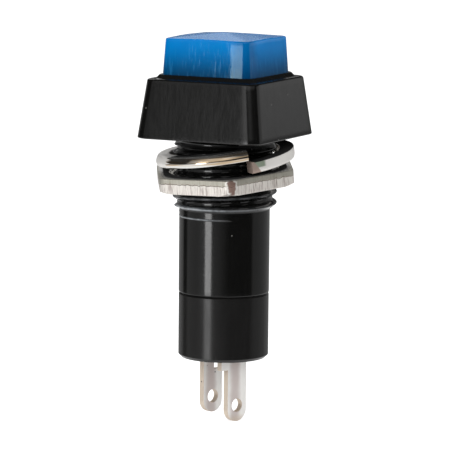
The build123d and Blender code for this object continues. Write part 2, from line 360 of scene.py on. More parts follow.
# ---------------------------------------------------------------- node graphs


class Graph:
    """Node tree with short calls that add nodes and join them."""

    def __init__(self, tree: bpy.types.NodeTree) -> None:
        """Starts with the tree emptied."""
        self.tree = tree
        self.tree.nodes.clear()

    def add(self, kind: str, **settings: object) -> bpy.types.Node:
        """Adds a node.

        Args:
            kind: the node's type.
            settings: its properties by name.

        Returns:
            The node.
        """
        node = self.tree.nodes.new(kind)
        for key, value in settings.items():
            setattr(node, key, value)
        return node

    def put(self, socket: Socket, value: Value) -> None:
        """Links a socket to another node's output, or sets its own value.

        Args:
            socket: the input to fill.
            value: an output, or a number, vector or colour as the input takes it.
        """
        if isinstance(value, Socket):
            self.tree.links.new(value, socket)
        else:
            socket.default_value = value

    def fill(self, node: bpy.types.Node, **values: Value) -> bpy.types.Node:
        """Fills a node's inputs.

        Args:
            node: the node.
            values: a value for each input, by its name with underscores for spaces.

        Returns:
            The node.
        """
        for key, value in values.items():
            self.put(node.inputs[key.replace("_", " ")], value)
        return node

    def math(self, operation: str, first: Value, second: Value = 0.0) -> Socket:
        """One arithmetic step on two numbers, clear of any clamp.

        Args:
            operation: the step's name.
            first: number on the left.
            second: number on the right, where the step has one.

        Returns:
            The result.
        """
        node = self.add("ShaderNodeMath", operation=operation)
        self.put(node.inputs[0], first)
        self.put(node.inputs[1], second)
        return node.outputs[0]

    def product(self, first: Value, second: Value) -> Socket:
        """Product of two numbers."""
        return self.math("MULTIPLY", first, second)

    def total(self, first: Value, second: Value) -> Socket:
        """Sum of two numbers."""
        return self.math("ADD", first, second)

    def larger(self, first: Value, second: Value) -> Socket:
        """The larger of two numbers."""
        return self.math("MAXIMUM", first, second)

    def rest(self, share: Value) -> Socket:
        """What a share leaves of 1."""
        return self.math("SUBTRACT", 1.0, share)

    def towards(self, x: Value, y: Value, heading: float) -> Socket:
        """How far a vector reaches towards a heading: x cos(heading) + y sin(heading)."""
        turn = np.radians(heading)
        return self.total(self.product(x, float(np.cos(turn))), self.product(y, float(np.sin(turn))))

    def step(self, value: Value, low: float, high: float, start: float = 0.0, end: float = 1.0) -> Socket:
        """Smooth step of a number.

        Args:
            value: the number.
            low: where the step begins.
            high: where it ends, which may be the lower of the two.
            start: what it gives at low and before it.
            end: what it gives at high and beyond it.

        Returns:
            The stepped number.
        """
        node = self.add("ShaderNodeMapRange", interpolation_type="SMOOTHSTEP")
        self.put(node.inputs[0], value)
        for index, number in enumerate((low, high, start, end), 1):
            self.put(node.inputs[index], number)
        return node.outputs[0]

    def window(self, value: Value, low: float, high: float, soft: float) -> Socket:
        """1 between low and high, falling to 0 over soft beyond each."""
        return self.product(self.step(value, low - soft, low), self.step(value, high, high + soft, 1.0, 0.0))

    def mix(self, share: Value, first: Value, second: Value) -> Socket:
        """Colour between two colours.

        Args:
            share: 0 for the first and 1 for the second.
            first: one colour.
            second: the other colour.

        Returns:
            The mixed colour.
        """
        node = self.add("ShaderNodeMix", data_type="RGBA")
        for index, value in ((0, share), (6, first), (7, second)):
            self.put(node.inputs[index], value)
        return node.outputs[2]

    def split(self, vector: Socket) -> bpy.types.bpy_prop_collection:
        """X, Y and Z of a vector."""
        return self.fill(self.add("ShaderNodeSeparateXYZ"), Vector=vector).outputs

    def join(self, x: Value, y: Value, z: Value = 0.0) -> Socket:
        """Vector of three numbers."""
        return self.fill(self.add("ShaderNodeCombineXYZ"), X=x, Y=y, Z=z).outputs[0]

    def rays(self) -> tuple[Socket, Socket]:
        """Marks of the rays from the camera, and of those that a gloss or clear stuff sends on."""
        path = self.add("ShaderNodeLightPath").outputs
        return path["Is Camera Ray"], self.larger(path["Is Glossy Ray"], path["Is Transmission Ray"])


class Surface(Graph):
    """Node tree of one finish."""

    def __init__(self, name: str) -> None:
        """Starts an empty material with a surface shader.

        Args:
            name: the material's name.
        """
        self.material = bpy.data.materials.new(name)
        self.material.use_nodes = True
        super().__init__(self.material.node_tree)
        self.skin = self.add("ShaderNodeBsdfPrincipled")
        self.fill(self.add("ShaderNodeOutputMaterial"), Surface=self.skin.outputs[0])
        coordinates = self.add("ShaderNodeTexCoord").outputs
        self.place, self.normal = coordinates["Object"], coordinates["Normal"]

    def set(self, **values: Value) -> None:
        """Puts values on the surface shader's sockets, named with underscores for spaces."""
        self.fill(self.skin, **values)

    def squeezed(self, share: float) -> Socket:
        """The place with its height squeezed, so that a pattern on it runs upright.

        Args:
            share: what is left of the height.

        Returns:
            The squeezed place.
        """
        node = self.add("ShaderNodeVectorMath", operation="MULTIPLY")
        self.put(node.inputs[0], self.place)
        self.put(node.inputs[1], (1.0, 1.0, share))
        return node.outputs[0]

    def noise(self, size: float, detail: float = 2.0, vector: Socket | None = None,
              roughness: float = 0.5) -> Socket:
        """Fractal noise from 0 to 1.

        Args:
            size: about how wide its lumps are, in millimetres.
            detail: number of finer layers.
            vector: where it is read, or None for the place on the piece.
            roughness: weight of each finer layer.

        Returns:
            The noise.
        """
        node = self.fill(self.add("ShaderNodeTexNoise"), Vector=self.place if vector is None else vector,
                         Scale=1 / (size * MM), Detail=detail, Roughness=roughness)
        return node.outputs[0]

    def cells(self, size: float) -> Socket:
        """Distance to the nearest of points strewn about size millimetres apart, in that unit."""
        node = self.fill(self.add("ShaderNodeTexVoronoi"), Vector=self.place, Scale=1 / (size * MM))
        return node.outputs["Distance"]

    def attribute(self, name: str) -> Socket:
        """A number that the piece's mesh carries."""
        return self.add("ShaderNodeAttribute", attribute_name=name).outputs["Fac"]

    def bump(self, height: Value, depth: float, strength: float) -> None:
        """Raises the surface.

        Args:
            height: how high, where 1 stands for the depth.
            depth: in millimetres.
            strength: share of the effect.
        """
        node = self.fill(self.add("ShaderNodeBump"), Strength=strength, Distance=depth * MM, Height=height)
        self.set(Normal=node.outputs[0])


# ---------------------------------------------------------------- finishes


def grey(level: float) -> Colour:
    """Neutral colour."""
    return (level, level, level, 1.0)


@dataclass(frozen=True)
class BlackPlastic:
    """Glossy moulded black, with faint flow marks, fine grain and a few pale specks of dust."""

    name: str = "black_plastic"
    dark: Colour = (0.002, 0.002, 0.0018, 1.0)
    light: Colour = (0.0035, 0.0035, 0.0033, 1.0)
    dust: Colour = (0.12, 0.12, 0.11, 1.0)
    # pale marks, partly scuff marks and partly painted highlight on the thread's end ring, witness line and
    # crests
    scuff_and_sheen: Colour = (0.30, 0.32, 0.34, 1.0)
    roughness: float = 0.1
    grain_roughness: float = 0.08
    index: float = 1.5
    cloud_size: float = 2.2
    grain_size: float = 0.18
    grain_depth: float = 0.003
    flow_size: float = 0.35
    flow_squeeze: float = 0.08
    grain_span: Span = (0.6, 1.4)
    speck_radius: float = 0.1
    speck_core: float = 0.6
    speck_spacing: float = 2.4
    patch_size: float = 0.5
    patch_span: Span = (0.3, 0.7)
    least_wear_and_sheen: float = 0.45
    scuffed_with_sheen: bool = False

    def material(self) -> bpy.types.Material:
        """Builds the material, which reads the mesh's wear_and_sheen where the flag asks for it: pale marks,
        partly scuff marks and partly painted highlight.

        Returns:
            The material.
        """
        nodes = Surface(self.name)
        grain = nodes.noise(self.grain_size)
        flow = nodes.noise(self.flow_size, vector=nodes.squeezed(self.flow_squeeze))
        body = nodes.mix(nodes.noise(self.cloud_size, 3.0), self.dark, self.light)
        speck = self.speck_radius / self.speck_spacing
        specks = nodes.step(nodes.cells(self.speck_spacing), speck, self.speck_core * speck)
        body = nodes.mix(specks, body, self.dust)
        # pale marks, partly scuff marks and partly painted highlight on the thread's end ring, witness line
        # and crests
        if self.scuffed_with_sheen:
            patchy = nodes.step(nodes.noise(self.patch_size, 3.0), *self.patch_span, self.least_wear_and_sheen)
            body = nodes.mix(nodes.product(nodes.attribute("wear_and_sheen"), patchy), body, self.scuff_and_sheen)
        rough = nodes.step(nodes.total(grain, flow), *self.grain_span, self.roughness,
                           self.roughness + self.grain_roughness)
        nodes.set(Base_Color=body, Roughness=rough, IOR=self.index)
        nodes.bump(grain, self.grain_depth, 0.5)
        return nodes.material


@dataclass(frozen=True)
class BluePlastic:
    """Tinted plastic that lets some light in.

    It is painted brighter up under its shoulder and deeper down towards its foot, as painted light and
    painted shade, is painted deeper at two opposite corners as shade, and has fine upright streaks.
    """

    name: str = "blue_plastic"
    # painted shade: the darker blues low on the cap; painted light: the brighter blues high on it
    painted_shade_blue: Colour = (0.0, 0.034, 0.095, 1.0)
    painted_shade_streak: Colour = (0.004, 0.075, 0.18, 1.0)
    bright: Colour = (0.0, 0.14, 0.41, 1.0)
    painted_light_cloud: Colour = (0.0, 0.19, 0.53, 1.0)
    # painted shade: the deeper blue at two opposite corners of the cap
    painted_corner_shade: Colour = (0.0, 0.045, 0.15, 1.0)
    gloss_tint: Colour = (0.7, 1.0, 1.0, 1.0)
    index: float = 1.5
    wall_roughness: float = 0.06
    crown_roughness: float = 0.24
    streak_roughness: float = 0.08
    streak_size: float = 0.22
    streak_squeeze: float = 0.07
    streak_tone: Span = (0.52, 0.72)
    streak_satin: Span = (0.5, 0.7)
    cloud_size: float = 2.5
    cloud_bump: float = 2.0
    bump_depth: float = 0.011
    glow: float = 0.1
    glow_reach: tuple[float, float, float] = (0.1, 0.5, 1.0)
    painted_light_height: float = 11.3
    painted_shade_height: float = 6.6
    shoulder: float = 11.15
    shoulder_blur: float = 0.1
    shaded_corner_heading: float = -45.0
    corner_start: float = 5.9
    corner_end: float = 6.9
    corner_shade_share: float = 0.45

    def material(self) -> bpy.types.Material:
        """Builds the material.

        Returns:
            The material.
        """
        nodes = Surface(self.name)
        x, y, height = nodes.split(nodes.place)
        streaks = nodes.noise(self.streak_size, 3.0, nodes.squeezed(self.streak_squeeze))
        clouds = nodes.noise(self.cloud_size)
        # painted shade low on the cap and painted light up under its shoulder, mixed by height
        low = nodes.mix(nodes.step(streaks, *self.streak_tone), self.painted_shade_blue, self.painted_shade_streak)
        high = nodes.mix(clouds, self.bright, self.painted_light_cloud)
        body = nodes.mix(nodes.step(height, self.painted_shade_height * MM, self.painted_light_height * MM), low, high)
        # painted shade: two opposite corners of the cap are painted deeper
        off_middle = nodes.math("ABSOLUTE", nodes.towards(x, y, self.shaded_corner_heading))
        corner = nodes.step(off_middle, self.corner_start * MM, self.corner_end * MM, 0.0, self.corner_shade_share)
        low_edge, high_edge = self.shoulder - self.shoulder_blur, self.shoulder + self.shoulder_blur
        satin = nodes.step(height, low_edge * MM, high_edge * MM, self.wall_roughness, self.crown_roughness)
        satin = nodes.total(satin, nodes.step(streaks, *self.streak_satin, 0.0, self.streak_roughness))
        nodes.set(Base_Color=nodes.mix(corner, body, self.painted_corner_shade), Roughness=satin, IOR=self.index,
                  Specular_Tint=self.gloss_tint, Subsurface_Weight=self.glow,
                  Subsurface_Radius=self.glow_reach, Subsurface_Scale=MM)
        nodes.bump(nodes.total(streaks, nodes.product(clouds, self.cloud_bump)), self.bump_depth, 0.5)
        return nodes.material


@dataclass(frozen=True)
class WasherNickel:
    """Nickel plate over coiled wire: bright and drawn along the ring, matte by its low end and one side.

    The upper side is painted near black, a painted shade and reflection of the black head above it, and the
    cut end and the bevel beside it show the steel under the plate. Places along the ring are shares of its
    turn from the low end, and heights are shares of its thickness. The tan band on the wall is a painted
    reflection; it starts lower from drop_start on, and the matte side's bounds wander by ragged.
    """

    name: str = "washer_nickel"
    pale: Colour = (0.88, 0.87, 0.84, 1.0)
    # painted reflection: the tan band across the middle of the wall
    tan: Colour = (0.60, 0.46, 0.31, 1.0)
    matte: Colour = (0.74, 0.72, 0.69, 1.0)
    # painted shade and reflection: the near-black upper side under the black head
    painted_dark_top: Colour = (0.03, 0.03, 0.03, 1.0)
    steel: Colour = (0.34, 0.26, 0.22, 1.0)
    bevel: Colour = (0.26, 0.31, 0.24, 1.0)
    roughness: float = 0.07
    drawn_roughness: float = 0.1
    drawn_satin: Span = (0.3, 0.7)
    matte_roughness: float = 0.25
    matte_share: float = 0.6
    draw_length: float = 9.0
    draw_height: float = 7.0
    draw_depth: float = 0.008
    tan_reflection_foot: Span = (0.2, 0.38)
    tan_reflection_top: Span = (0.95, 0.75)
    tan_reflection_drawn: Span = (0.3, 0.55)
    drop_start: Span = (0.87, 0.95)
    drop: float = 0.2
    ragged: float = 0.06
    side_start: Span = (0.5, 0.6)
    side_end: Span = (0.795, 0.78)
    low_end: Span = (0.3, 0.16)
    slant: float = 0.016
    cut_end: Span = (0.024, 0.021)
    bevel_end: Span = (0.038, 0.03)
    bevel_foot: Span = (0.4, 0.55)
    upper_side: Span = (0.965, 0.985)

    def material(self) -> bpy.types.Material:
        """Builds the material, from the place along the ring and the height in the section.

        Returns:
            The material.
        """
        nodes = Surface(self.name)
        up, along = nodes.attribute("up"), nodes.attribute("along")
        drawn = nodes.noise(1 / MM, 3.0, nodes.join(nodes.product(along, self.draw_length),
                                                    nodes.product(up, self.draw_height)))
        # painted reflection: a tan band across the middle of the wall, lower from drop_start on and broken by
        # the drawn lines
        lowered = nodes.total(up, nodes.step(along, *self.drop_start, 0.0, self.drop))
        middle = nodes.product(nodes.step(lowered, *self.tan_reflection_foot), nodes.step(up, *self.tan_reflection_top))
        tan_reflection_share = nodes.product(middle, nodes.step(drawn, *self.tan_reflection_drawn))
        wandering = nodes.total(along, nodes.product(nodes.math("SUBTRACT", drawn, 0.5), self.ragged))
        side = nodes.product(nodes.step(wandering, *self.side_start), nodes.step(wandering, *self.side_end))
        matte = nodes.larger(nodes.step(along, *self.low_end), side)
        end = nodes.step(nodes.total(along, nodes.product(up, self.slant)), *self.cut_end)
        beside = nodes.product(nodes.step(along, *self.bevel_end), nodes.step(up, *self.bevel_foot))
        # painted shade and reflection: the upper side, off the matte side, is painted near black with less
        # gloss
        top = nodes.product(nodes.step(up, *self.upper_side), nodes.rest(side))
        body = nodes.mix(tan_reflection_share, self.pale, self.tan)
        for share, colour in ((matte, self.matte), (beside, self.bevel), (top, self.painted_dark_top), (end, self.steel)):
            body = nodes.mix(share, body, colour)
        shine = nodes.rest(top)
        rough = nodes.step(drawn, *self.drawn_satin, self.roughness, self.roughness + self.drawn_roughness)
        metallic = nodes.product(shine, nodes.rest(nodes.product(matte, self.matte_share)))
        nodes.set(Metallic=metallic, Base_Color=body, Specular_IOR_Level=nodes.product(shine, 0.5),
                  Roughness=nodes.total(rough, nodes.product(matte, self.matte_roughness)))
        nodes.bump(drawn, self.draw_depth, 0.5)
        return nodes.material


@dataclass(frozen=True)
class NutNickel:
    """Nickel plate over a stamped blank: a sheared band on each wall, and a torn, striated one under it.

    Heights are shares of the nut's thickness, and patterns along the walls have so many lumps a millimetre.
    A burr runs along the wandering edge between the bands, and one corner is bruised.
    """

    name: str = "nut_nickel"
    pale: Colour = (0.86, 0.84, 0.80, 1.0)
    torn: Colour = (0.80, 0.76, 0.71, 1.0)
    furrow: Colour = (0.40, 0.34, 0.31, 1.0)
    sheared: Colour = (0.285, 0.27, 0.21, 1.0)
    # painted shade and reflection: the near-black upper side of the nut
    painted_dark_top: Colour = (0.03, 0.03, 0.03, 1.0)
    burr: Colour = (0.2, 0.16, 0.11, 1.0)
    bruise: Colour = (0.22, 0.12, 0.09, 1.0)
    roughness: float = 0.1
    band_dulling: float = 0.3
    torn_dulling: float = 0.36
    shear_line: float = 0.66
    wander: float = 0.16
    wander_rate: float = 2.0
    band_foot: Span = (-0.01, 0.03)
    torn_top: Span = (0.0, -0.04)
    burr_foot: Span = (-0.05, 0.0)
    burr_top: Span = (0.06, 0.01)
    burr_wander: Span = (0.3, 0.6)
    burr_share: Span = (0.2, 0.8)
    tear_rate: float = 6.5
    tear_climb: float = 0.8
    tear_tone: Span = (0.54, 0.34)
    band_tears: Span = (0.2, 0.6)
    band_share: Span = (1.0, 0.75)
    chew_size: float = 0.6
    chew_share: float = 0.9
    chew_foot: Span = (0.15, 0.6)
    chew_top: Span = (1.05, 0.8)
    chew_gain: float = 0.3
    chew_level: float = -0.25
    rubbed: Span = (0.25, 0.4)
    rubbed_share: float = 0.6
    bruised: Span = (0.55, 0.75)
    bruised_share: float = 0.9
    upper_side: Span = (0.965, 0.985)
    band_bump: float = 0.4
    bump_depth: float = 0.08
    bump_strength: float = 0.7

    def material(self) -> bpy.types.Material:
        """Builds the material.

        Returns:
            The material.
        """
        nodes = Surface(self.name)
        up, around, wall, corner = (nodes.attribute(name) for name in ("up", "around", "wall", "corner"))
        wander = nodes.noise(1.0, 3.0, nodes.join(nodes.product(around, self.wander_rate * MM), 0.0))
        tears = nodes.noise(1.0, 4.0, nodes.join(nodes.product(around, self.tear_rate * MM),
                                                 nodes.product(up, self.tear_climb * MM)), 0.65)
        edge = nodes.total(self.shear_line - self.wander, nodes.product(wander, 2 * self.wander))
        above = nodes.math("SUBTRACT", up, edge)
        band = nodes.product(wall, nodes.step(above, *self.band_foot))
        rough = nodes.product(wall, nodes.step(above, *self.torn_top))
        near_edge = nodes.product(nodes.step(above, *self.burr_foot), nodes.step(above, *self.burr_top))
        line = nodes.product(wall, near_edge)
        upper = nodes.product(nodes.step(up, *self.chew_foot), nodes.step(up, *self.chew_top))
        raised = nodes.total(nodes.product(upper, self.chew_gain), self.chew_level)
        patches = nodes.math("SUBTRACT", nodes.noise(self.chew_size, 3.0), 0.5)
        chewed = nodes.total(corner, nodes.total(nodes.product(patches, self.chew_share), raised))
        # painted shade and reflection: the upper side is painted near black with less gloss
        top = nodes.product(nodes.step(up, *self.upper_side), nodes.rest(wall))
        layers = (
            (rough, nodes.mix(nodes.step(tears, *self.tear_tone), self.torn, self.furrow)),
            (nodes.product(band, nodes.step(tears, *self.band_tears, *self.band_share)), self.sheared),
            (nodes.product(line, nodes.step(wander, *self.burr_wander, *self.burr_share)), self.burr),
            (nodes.product(wall, nodes.step(chewed, *self.rubbed, 0.0, self.rubbed_share)), self.pale),
            (nodes.product(wall, nodes.step(chewed, *self.bruised, 0.0, self.bruised_share)), self.bruise),
            (top, self.painted_dark_top),
        )
        body = self.pale
        for share, colour in layers:
            body = nodes.mix(share, body, colour)
        shine = nodes.rest(top)
        dulled = nodes.total(nodes.product(band, self.band_dulling), nodes.product(rough, self.torn_dulling))
        nodes.set(Metallic=nodes.product(shine, nodes.rest(dulled)), Base_Color=body,
                  Roughness=nodes.total(self.roughness, dulled), Specular_IOR_Level=nodes.product(shine, 0.5))
        relief = nodes.total(nodes.product(tears, rough), nodes.product(band, self.band_bump))
        nodes.bump(relief, self.bump_depth, self.bump_strength)
        return nodes.material


@dataclass(frozen=True)
class PlainMetal:
    """Metal of one tone with a fine grain: wire, strip and rivets."""

    name: str
    pale: Colour
    dark: Colour
    roughness: float
    grain_size: float = 0.3
    grain_tone: Span = (0.35, 0.75)
    grain_satin: Span = (0.3, 0.8)
    grain_roughness: float = 0.15

    def material(self) -> bpy.types.Material:
        """Builds the material.

        Returns:
            The material.
        """
        nodes = Surface(self.name)
        grain = nodes.noise(self.grain_size, 3.0)
        rough = nodes.step(grain, *self.grain_satin, self.roughness, self.roughness + self.grain_roughness)
        body = nodes.mix(nodes.step(grain, *self.grain_tone), self.pale, self.dark)
        nodes.set(Metallic=1.0, Base_Color=body, Roughness=rough)
        nodes.bump(grain, 0.008, 0.4)
        return nodes.material


@dataclass(frozen=True)
class TinnedBrass:
    """Dull tin over blanked brass, which shows as tan on the cut edges and at the tips."""

    name: str = "tinned_brass"
    tin: Colour = (0.97, 0.95, 0.92, 1.0)
    # random clouds and the painted shade along each blade
    cloud_and_painted_shade: Colour = (0.66, 0.585, 0.56, 1.0)
    brass: Colour = (0.62, 0.50, 0.38, 1.0)
    pit: Colour = (0.12, 0.11, 0.10, 1.0)
    metallic: float = 0.45
    roughness: Span = (0.4, 0.55)
    face_heading: float = -22.0
    cut_facing: Span = (0.8, 0.4)
    cut_share: float = 0.8
    tip_height: float = -31.4
    tip_reach: float = 0.8
    tip_share: float = 0.5
    tip_clouds: Span = (0.35, 0.6)
    shade_aside: float = 0.3
    shade_start: float = 0.1
    shade_end: float = 1.5
    cloud_size: float = 1.4
    cloud_share: float = 0.5
    cloud_tone: Span = (0.25, 1.0)
    cloud_satin: Span = (0.3, 0.7)
    pit_spacing: float = 0.9
    pit_edge: Span = (0.13, 0.07)
    dent_size: float = 0.5

    def material(self) -> bpy.types.Material:
        """Builds the material.

        The cut edges are where the normal turns away from the blades' faces, and a painted shade makes the
        tin darkest along a line that stands shade_aside beside each blade's middle.

        Returns:
            The material.
        """
        nodes = Surface(self.name)
        x, y, height = nodes.split(nodes.place)
        normal = nodes.split(nodes.normal)
        facing = nodes.math("ABSOLUTE", nodes.towards(normal[0], normal[1], self.face_heading))
        cut = nodes.step(facing, *self.cut_facing, 0.0, self.cut_share)
        across = nodes.towards(x, y, self.face_heading + 90.0)
        off_shade = nodes.math("ABSOLUTE", nodes.total(across, self.shade_aside * MM))
        clouds = nodes.noise(self.cloud_size, 3.0)
        tip_end = self.tip_height - self.tip_reach
        at_tip = nodes.step(height, self.tip_height * MM, tip_end * MM, 0.0, self.tip_share)
        tip = nodes.product(at_tip, nodes.step(clouds, *self.tip_clouds))
        # painted shade: the tin is darkest along a line beside each blade's middle, mixed with random clouds
        unshaded_share = nodes.step(off_shade, self.shade_start * MM, self.shade_end * MM)
        unshaded_share = nodes.step(nodes.total(unshaded_share, nodes.product(clouds, self.cloud_share)), *self.cloud_tone)
        body = nodes.mix(nodes.larger(cut, tip), nodes.mix(unshaded_share, self.cloud_and_painted_shade, self.tin), self.brass)
        pits = nodes.step(nodes.cells(self.pit_spacing), *self.pit_edge)
        nodes.set(Metallic=self.metallic, Base_Color=nodes.mix(pits, body, self.pit),
                  Roughness=nodes.step(clouds, *self.cloud_satin, *self.roughness))
        nodes.bump(nodes.noise(self.dent_size), 0.006, 0.4)
        return nodes.material


@dataclass(frozen=True)
class WhitePlastic:
    """Natural moulded plastic of the plunger."""

    name: str = "white_plastic"
    shaded: Colour = (0.78, 0.77, 0.72, 1.0)
    lit: Colour = (0.86, 0.85, 0.81, 1.0)
    roughness: Span = (0.35, 0.5)
    cloud_size: float = 1.5
    cloud_satin: Span = (0.3, 0.7)
    grain_size: float = 0.2

    def material(self) -> bpy.types.Material:
        """Builds the material.

        Returns:
            The material.
        """
        nodes = Surface(self.name)
        clouds = nodes.noise(self.cloud_size, 3.0)
        nodes.set(Base_Color=nodes.mix(clouds, self.shaded, self.lit),
                  Roughness=nodes.step(clouds, *self.cloud_satin, *self.roughness))
        nodes.bump(nodes.noise(self.grain_size), 0.005, 0.4)
        return nodes.material


BASE_PLASTIC = BlackPlastic("base_plastic", dark=(0.005, 0.0048, 0.0047, 1.0),
                            light=(0.0075, 0.0072, 0.007, 1.0), roughness=0.19, index=1.4)
SPRING_WIRE = PlainMetal("spring_wire", (0.55, 0.54, 0.53, 1.0), (0.35, 0.34, 0.33, 1.0), 0.28)
CONTACT_SILVER = PlainMetal("contact_silver", (0.90, 0.89, 0.87, 1.0), (0.7, 0.69, 0.66, 1.0), 0.22)


# ---------------------------------------------------------------- pieces


def ridge(distance: np.ndarray, width: float) -> np.ndarray:
    """Bell exp(-(d / w)^2) over the distance d from a line."""
    return np.exp(-((distance / width) ** 2))


def turned(radius: np.ndarray, angle: np.ndarray, height: np.ndarray) -> np.ndarray:
    """Points (r cos a, r sin a, h) on the grid that radius, angle and height broadcast to."""
    return np.stack(np.broadcast_arrays(radius * np.cos(angle), radius * np.sin(angle), height), axis=-1)


@dataclass
class Housing:
    """Head, bushing with its thread, and barrel, in one moulding."""

    columns: int = 288
    head_base: float = 7.77
    head_top: float = 6.9
    head_height: float = 6.7
    head_corner: float = 1.5
    head_top_corner: float = 1.3
    head_flat_share: float = 0.8
    head_bow: float = 4.5
    rim_height: float = 0.45
    rim_slope: float = 0.45
    rim_wall: float = 0.15
    pocket: float = 5.72
    pocket_corner: float = 1.15
    pocket_floor: float = 1.9
    stem_hole: float = 2.38
    bore: float = 4.0
    bead_depth: float = 16.2
    bead_height: float = 0.18
    bead_half: float = 0.25
    neck: float = 5.5
    neck_length: float = 0.8
    neck_fillet: float = 0.4
    crest: float = 5.9
    groove_depth: float = 0.5
    pitch: float = 1.25
    crest_height: float = -6.82
    crest_heading: float = 206.5
    thread_end: float = 7.95
    thread_chamfer: float = 0.25
    end_fillet: float = 0.3
    barrel: float = 5.14
    barrel_end: float = 17.8
    seam_chamfer: float = 0.15
    fine_rows: float = 1.9
    line_drop: float = 1.07
    line_gap: float = 0.5
    line_width: float = 0.06
    line_height: float = 0.035
    second_line: float = 0.7
    # side where the pale marks, partly scuff marks and partly painted highlight, are strongest
    scuff_and_sheen_heading: float = -130.0
    scuff_and_sheen_ring_rise: float = 0.1
    scuff_and_sheen_ring_width: float = 0.16
    scuff_and_sheen_line_width: float = 0.07
    scuff_and_sheen_crests: tuple[float, float] = (-7.6, -5.5)

    def profile(self) -> np.ndarray:
        """Closed profile, from the neck out over the head, down into the pocket and bore, and back up.

        Returns:
            Rows of half width, corner radius and height.
        """
        rim_inner = self.pocket + self.rim_wall
        rim_top = self.head_height + self.rim_height
        corner_gain = self.rim_wall + self.rim_slope
        knots = [
            round_knot(0.0, self.neck + self.neck_fillet, 0.03),
            Knot(self.head_base, self.head_corner, 0.0, 0.17, 0.5),
            Knot(self.head_top, self.head_top_corner, self.head_height, 0.28, 0.5),
            Knot(rim_inner + self.rim_slope, self.pocket_corner + corner_gain, self.head_height, 0.1),
            Knot(rim_inner, self.pocket_corner + self.rim_wall, rim_top, 0.06),
            Knot(self.pocket, self.pocket_corner, rim_top, 0.05),
            Knot(self.pocket, self.pocket_corner, self.pocket_floor, 0.2),
            round_knot(self.pocket_floor, self.stem_hole, 0.1),
            round_knot(0.0, self.stem_hole, 0.1),
            round_knot(0.0, self.bore, 0.1, 3.0),
            round_knot(self.bead_half - self.bead_depth, self.bore),
            round_knot(-self.bead_depth, self.bore + self.bead_height),
            round_knot(-self.bead_depth - self.bead_half, self.bore),
            round_knot(-self.barrel_end, self.bore, 0.1),
            round_knot(-self.barrel_end, self.barrel - self.seam_chamfer, 0.03),
            round_knot(self.seam_chamfer - self.barrel_end, self.barrel, 0.05, 0.5),
            round_knot(-self.thread_end - self.fine_rows, self.barrel, 0.0, 0.04),
            round_knot(-self.thread_end, self.barrel, self.end_fillet, 0.1),
            round_knot(-self.thread_end, self.crest - self.thread_chamfer, 0.05, 0.06),
            round_knot(self.thread_chamfer - self.thread_end, self.crest, 0.05, 0.08),
            round_knot(-self.neck_length - (self.crest - self.neck), self.crest, 0.15, 0.08),
            round_knot(-0.65 * self.neck_length, self.neck, 0.3, 0.1),
        ]
        return rounded_path(knots, closed=True)

    def cut_thread(self, radius: np.ndarray, theta: np.ndarray, height: np.ndarray,
                   outside: np.ndarray) -> np.ndarray:
        """Cuts the helical groove: the skin is the lower of its envelope and crest - depth * v.

        With the phase p = (height - crest height) / pitch - turn and w = 1/2 - 1/2 cos(2 pi p), the groove
        v is 5/4 w^0.8 - 0.08 held between 0 and 1: a V with rounded crest and root, which is 0 on the crest
        and 1 in the root. It runs in over 0.4 of height where the neck ends.

        Args:
            radius: envelope's distance from the axis.
            theta: angles round the axis.
            height: heights.
            outside: 1 on the rows of the bushing's outside and 0 elsewhere.

        Returns:
            The cut distance from the axis.
        """
        turns = (theta - np.radians(self.crest_heading)) / FULL_TURN
        phase = (height - self.crest_height) / self.pitch - turns
        wave = 0.5 - 0.5 * np.cos(FULL_TURN * phase)
        groove = np.clip(1.25 * wave**0.8 - 0.08, 0, 1)
        thread = self.crest - self.groove_depth * groove
        run_in = smooth_step(-self.neck_length + 0.1, -self.neck_length - 0.3, height)
        return np.where(outside > 0, np.minimum(radius, thread + (1 - run_in)), radius)

    def mark_barrel(self, theta: np.ndarray, height: np.ndarray) -> np.ndarray:
        """How high two thin raised witness lines stand round the left of the barrel, below the thread.

        Args:
            theta: angles round the axis.
            height: heights.

        Returns:
            The rise at each point, which fades at both ends of each line.
        """
        above = height + self.thread_end + self.line_drop
        first = ridge(above, self.line_width) * self.round_left(theta, -52.0, -62.0)
        second = ridge(above - self.line_gap, self.line_width) * self.round_left(theta, -128.0, -140.0)
        return self.line_height * (first + self.second_line * second)

    def scuffs_and_sheen(self, radius: np.ndarray, theta: np.ndarray, height: np.ndarray) -> np.ndarray:
        """How pale the surface is painted, partly as scuff marks and partly as painted highlight: a ring at
        the thread's end, the witness line, and the last crests.

        The ring and the crests are stronger on the side that faces the light, by 1/2 + 1/2 cos of the turn
        from it.

        Args:
            radius: distance from the axis.
            theta: angles round the axis.
            height: heights.

        Returns:
            The pale marks at each point, part scuff marks and part painted highlight, where 0 is none.
        """
        side = 0.5 + 0.5 * np.cos(theta - np.radians(self.scuff_and_sheen_heading))
        above = height + self.thread_end
        on_end = (radius > self.barrel - 0.1) & (radius < self.crest - 0.05)
        # partly scuff marks and partly painted highlight: pale on the thread's end ring, the witness line and
        # the crest tops
        ring = ridge(above - self.scuff_and_sheen_ring_rise, self.scuff_and_sheen_ring_width) * on_end
        line = ridge(above + self.line_drop, self.scuff_and_sheen_line_width) * self.round_left(theta, -55.0, -95.0)
        low, high = self.scuff_and_sheen_crests
        on_crests = (height > low) & (height < high) & (radius < self.crest + 0.02)
        crest = smooth_step(self.crest - 0.12, self.crest, radius) * on_crests
        return ring * (0.25 + 1.1 * side**2) + 0.8 * line * (radius > self.bore + 1) + 0.25 * crest * side

